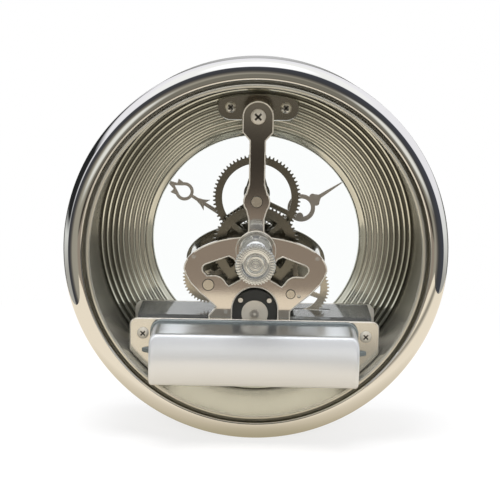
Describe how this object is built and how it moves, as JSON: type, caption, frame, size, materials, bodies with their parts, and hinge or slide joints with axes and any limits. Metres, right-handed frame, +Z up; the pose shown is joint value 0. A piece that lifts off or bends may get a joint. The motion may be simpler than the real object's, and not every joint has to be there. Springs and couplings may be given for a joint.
{
  "type": "desk clock",
  "caption": "Round skeleton desk clock insert with an open chrome drum, ribbed ring, visible wheel train, rear setting knob and battery box.",
  "frame": {"origin": "on the case axis, in the plane where the rim at the back seats on the back of the stand", "axes": "+Y along the case axis towards the open back, +Z up towards twelve, the dial faces -Y"},
  "size_m": [0.1314, 0.0627, 0.1314],
  "materials": {
    "polished_chrome": "polished",
    "ribbed_chrome": "polished",
    "clear_glass": "clear",
    "dial_silver": "satin",
    "plate_nickel": "polished",
    "dark_nickel": "satin",
    "wheel_metal": "satin",
    "bright_steel": "polished",
    "hand_metal": "satin",
    "knob_aluminium": "turned",
    "smoke_plastic": "translucent smoky",
    "box_chrome": "polished",
    "cover_silver": "satin silver",
    "dark_plastic": "matt",
    "battery_jacket": "gloss",
    "contact_metal": "plated"
  },
  "bodies": {
    "frame": {"case_shell": "polished_chrome", "inner_liner": "polished_chrome", "front_bezel": "polished_chrome", "glass_lens": "clear_glass", "ribbed_ring": "ribbed_chrome", "dial_ring": "dial_silver", "spacer_ring": "dial_silver", "top_bracket": "plate_nickel", "bracket_screws": "bright_steel", "top_post": "plate_nickel", "top_post_screw": "bright_steel", "rear_plate": "plate_nickel", "front_plate": "dark_nickel", "plate_pillars": "bright_steel", "rear_bushing": "bright_steel", "pivot_bushings": "bright_steel", "plate_rivet": "bright_steel", "minute_stud": "bright_steel", "battery_box": "smoke_plastic", "box_front_flange": "smoke_plastic", "box_mount_screws": "bright_steel", "box_rear_plate": "box_chrome", "box_screws": "bright_steel", "battery_tray": "smoke_plastic", "battery": "battery_jacket", "contact_positive": "contact_metal", "contact_negative": "contact_metal", "quartz_module": "dark_plastic", "motor_can": "bright_steel", "motor_clamp": "dark_plastic", "clamp_rivets": "bright_steel"},
    "minute_arbor": {"centre_arbor": "bright_steel", "centre_wheel": "wheel_metal", "drive_wheel": "wheel_metal", "cannon_pinion": "wheel_metal", "minute_hand": "hand_metal", "hand_nut": "bright_steel", "set_knob": "knob_aluminium"},
    "hour": {"hour_wheel": "wheel_metal", "hour_hand": "hand_metal"},
    "minute_wheel": {"minute_wheel": "wheel_metal"},
    "upper_wheel": {"upper_wheel": "wheel_metal", "upper_arbor": "bright_steel"},
    "left_wheel": {"left_wheel": "wheel_metal", "left_arbor": "bright_steel"},
    "right_wheel": {"right_wheel": "wheel_metal", "right_arbor": "bright_steel"},
    "motor_pinion": {"motor_pinion": "wheel_metal"},
    "battery_cover": {"battery_cover": "cover_silver"}
  },
  "joints": [
    {"name": "minute_spin", "type": "hinge", "parent": "frame", "child": "minute_arbor", "pos_m": [0, 0, 0], "axis": [0, 1, 0], "continuous": true},
    {"name": "hour_spin", "type": "hinge", "parent": "frame", "child": "hour", "pos_m": [0, 0, 0], "axis": [0, 1, 0], "continuous": true},
    {"name": "minute_wheel_spin", "type": "hinge", "parent": "frame", "child": "minute_wheel", "pos_m": [0, 0, -0.009], "axis": [0, 1, 0], "continuous": true},
    {"name": "upper_wheel_spin", "type": "hinge", "parent": "frame", "child": "upper_wheel", "pos_m": [0, 0, 0.01679], "axis": [0, 1, 0], "continuous": true},
    {"name": "left_wheel_spin", "type": "hinge", "parent": "frame", "child": "left_wheel", "pos_m": [0.01621, 0, -0.01239], "axis": [0, 1, 0], "continuous": true},
    {"name": "right_wheel_spin", "type": "hinge", "parent": "frame", "child": "right_wheel", "pos_m": [-0.0152, 0, -0.01591], "axis": [0, 1, 0], "continuous": true},
    {"name": "motor_spin", "type": "hinge", "parent": "frame", "child": "motor_pinion", "pos_m": [0, 0, -0.02258], "axis": [0, 1, 0], "continuous": true},
    {"name": "cover_slide", "type": "slide", "parent": "frame", "child": "battery_cover", "axis": [0, 1, 0], "range_m": [0, 0.022]}
  ],
  "couplings": [
    {"joint": "hour_spin", "follows": "minute_spin", "ratio": 0.083333},
    {"joint": "minute_wheel_spin", "follows": "minute_spin", "ratio": -0.33333},
    {"joint": "upper_wheel_spin", "follows": "minute_spin", "ratio": -0.12308},
    {"joint": "left_wheel_spin", "follows": "minute_spin", "ratio": -1.2174},
    {"joint": "right_wheel_spin", "follows": "minute_spin", "ratio": -1.037},
    {"joint": "motor_spin", "follows": "minute_spin", "ratio": 1.931}
  ]
}
